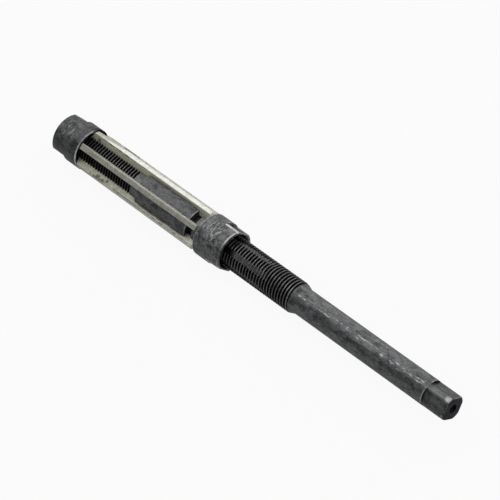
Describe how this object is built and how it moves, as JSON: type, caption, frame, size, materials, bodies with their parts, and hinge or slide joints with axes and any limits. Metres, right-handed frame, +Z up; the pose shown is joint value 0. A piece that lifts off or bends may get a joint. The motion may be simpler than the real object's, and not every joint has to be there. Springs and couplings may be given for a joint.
{
  "type": "adjustable hand reamer",
  "caption": "Hand reamer with loose blades in sloping slots, held by two nuts that slide them along to set the cutting diameter, and a plain shank with a drive square.",
  "frame": {"origin": "under the middle of the tool's length, on the surface that its two nuts lie on", "axes": "+X along the tool from the tip to the drive square, +Z up, blades at 60 degree steps from +Y"},
  "size_m": [0.145, 0.0128, 0.0124],
  "materials": {
    "body": "black oxide on turned steel, scuffed",
    "nut": "black oxide with worn bright rims",
    "blade": "ground tool steel"
  },
  "bodies": {
    "body": {"reamer_body": "body"},
    "front_nut": {"front_nut": "nut"},
    "rear_nut": {"rear_nut": "nut"},
    "blade_1": {"blade_1": "blade"},
    "blade_2": {"blade_2": "blade"},
    "blade_3": {"blade_3": "blade"},
    "blade_4": {"blade_4": "blade"},
    "blade_5": {"blade_5": "blade"},
    "blade_6": {"blade_6": "blade"}
  },
  "joints": [
    {"name": "front_nut_travel", "type": "slide", "parent": "body", "child": "front_nut", "axis": [1, 0, 0], "range_m": [0, 0.0191]},
    {"name": "rear_nut_turn", "type": "hinge", "parent": "front_nut", "child": "rear_nut", "pos_m": [-0.01095, 0, 0.0062], "axis": [1, 0, 0], "range_deg": [0, 6874.2]},
    {"name": "blade_1_slide", "type": "slide", "parent": "body", "child": "blade_1", "axis": [0.9997, 0.0262, 0], "range_m": [0, 0.0191]},
    {"name": "blade_2_slide", "type": "slide", "parent": "body", "child": "blade_2", "axis": [0.9997, 0.0131, 0.0227], "range_m": [0, 0.0191]},
    {"name": "blade_3_slide", "type": "slide", "parent": "body", "child": "blade_3", "axis": [0.9997, -0.0131, 0.0227], "range_m": [0, 0.0191]},
    {"name": "blade_4_slide", "type": "slide", "parent": "body", "child": "blade_4", "axis": [0.9997, -0.0262, 0], "range_m": [0, 0.0191]},
    {"name": "blade_5_slide", "type": "slide", "parent": "body", "child": "blade_5", "axis": [0.9997, -0.0131, -0.0227], "range_m": [0, 0.0191]},
    {"name": "blade_6_slide", "type": "slide", "parent": "body", "child": "blade_6", "axis": [0.9997, 0.0131, -0.0227], "range_m": [0, 0.0191]}
  ],
  "couplings": [
    {"joint": "rear_nut_turn", "follows": "front_nut_travel", "rad_per_m": 6283.2},
    {"joint": "blade_1_slide", "follows": "front_nut_travel", "ratio": 1.0003},
    {"joint": "blade_2_slide", "follows": "front_nut_travel", "ratio": 1.0003},
    {"joint": "blade_3_slide", "follows": "front_nut_travel", "ratio": 1.0003},
    {"joint": "blade_4_slide", "follows": "front_nut_travel", "ratio": 1.0003},
    {"joint": "blade_5_slide", "follows": "front_nut_travel", "ratio": 1.0003},
    {"joint": "blade_6_slide", "follows": "front_nut_travel", "ratio": 1.0003}
  ]
}
